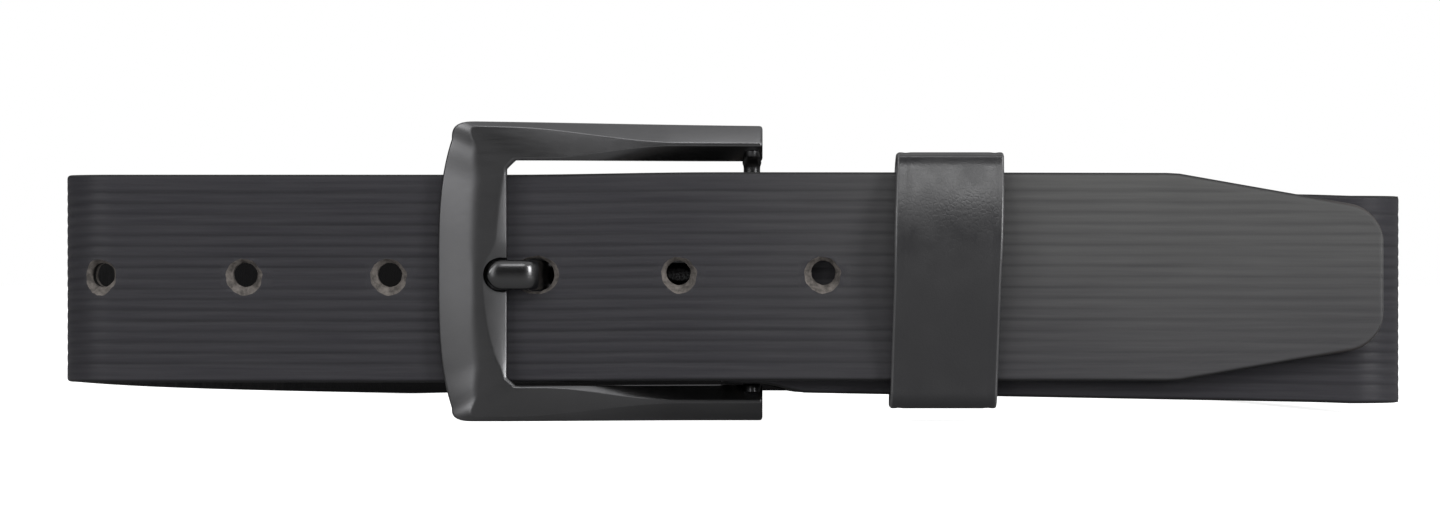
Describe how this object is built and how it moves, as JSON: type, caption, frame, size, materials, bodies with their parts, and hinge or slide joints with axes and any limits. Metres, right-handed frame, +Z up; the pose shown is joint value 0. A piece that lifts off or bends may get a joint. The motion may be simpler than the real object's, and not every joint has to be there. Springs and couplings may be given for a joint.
{
  "type": "pin buckle belt",
  "caption": "Ribbed leather strap closed into a loop by a cast pin buckle, with a punched tapered end held by a sliding leather keeper.",
  "frame": {"origin": "under the middle of the loop, on the surface that the belt stands on", "axes": "+X along the front towards the punched end's tip, +Y from the buckle back through the loop, +Z up along the strap's width"},
  "size_m": [0.2244, 0.2766, 0.0504],
  "materials": {
    "strap_leather": "matt, embossed with fine lengthwise ribs",
    "core_board": "raw bonded fibre",
    "lining_leather": "smooth matt",
    "keeper_leather": "smooth, semi-gloss",
    "gunmetal": "satin dark plating",
    "bar_steel": "drawn wire",
    "stud_metal": "satin dark plating"
  },
  "bodies": {
    "buckle_half": {"buckle_end_face": "strap_leather", "buckle_end_core": "core_board", "buckle_end_lining": "lining_leather", "upper_stud_cap": "stud_metal", "upper_stud_post": "stud_metal", "lower_stud_cap": "stud_metal", "lower_stud_post": "stud_metal"},
    "free_half": {"side_face": "strap_leather", "side_core": "core_board", "side_lining": "lining_leather", "billet_face": "strap_leather", "billet_core": "core_board", "billet_lining": "lining_leather"},
    "buckle": {"buckle_frame": "gunmetal", "hinge_bar": "bar_steel"},
    "prong": {"prong": "gunmetal"},
    "keeper": {"keeper_band": "keeper_leather", "keeper_staple": "bar_steel"}
  },
  "joints": [
    {"name": "strap_open", "type": "hinge", "parent": "buckle_half", "child": "free_half", "pos_m": [0, 0.1383, 0.0175], "axis": [0, 0, -1], "range_deg": [0, 60], "deforming": ["billet_face", "billet_core", "billet_lining"]},
    {"name": "frame_tilt", "type": "hinge", "parent": "buckle_half", "child": "buckle", "pos_m": [0.0032, -0.1274, 0.0252], "axis": [0, 0, 1], "range_deg": [0, 30]},
    {"name": "prong_swing", "type": "hinge", "parent": "buckle", "child": "prong", "pos_m": [0.0032, -0.1274, 0.024], "axis": [0, 0, 1], "range_deg": [0, 90]},
    {"name": "keeper_slide", "type": "slide", "parent": "buckle_half", "child": "keeper", "axis": [1, 0, 0], "range_m": [-0.001, 0.03]}
  ],
  "couplings": [
    {"joint": "frame_tilt", "follows": "strap_open", "ratio": 0.5},
    {"joint": "prong_swing", "follows": "strap_open", "ratio": 1.5}
  ]
}
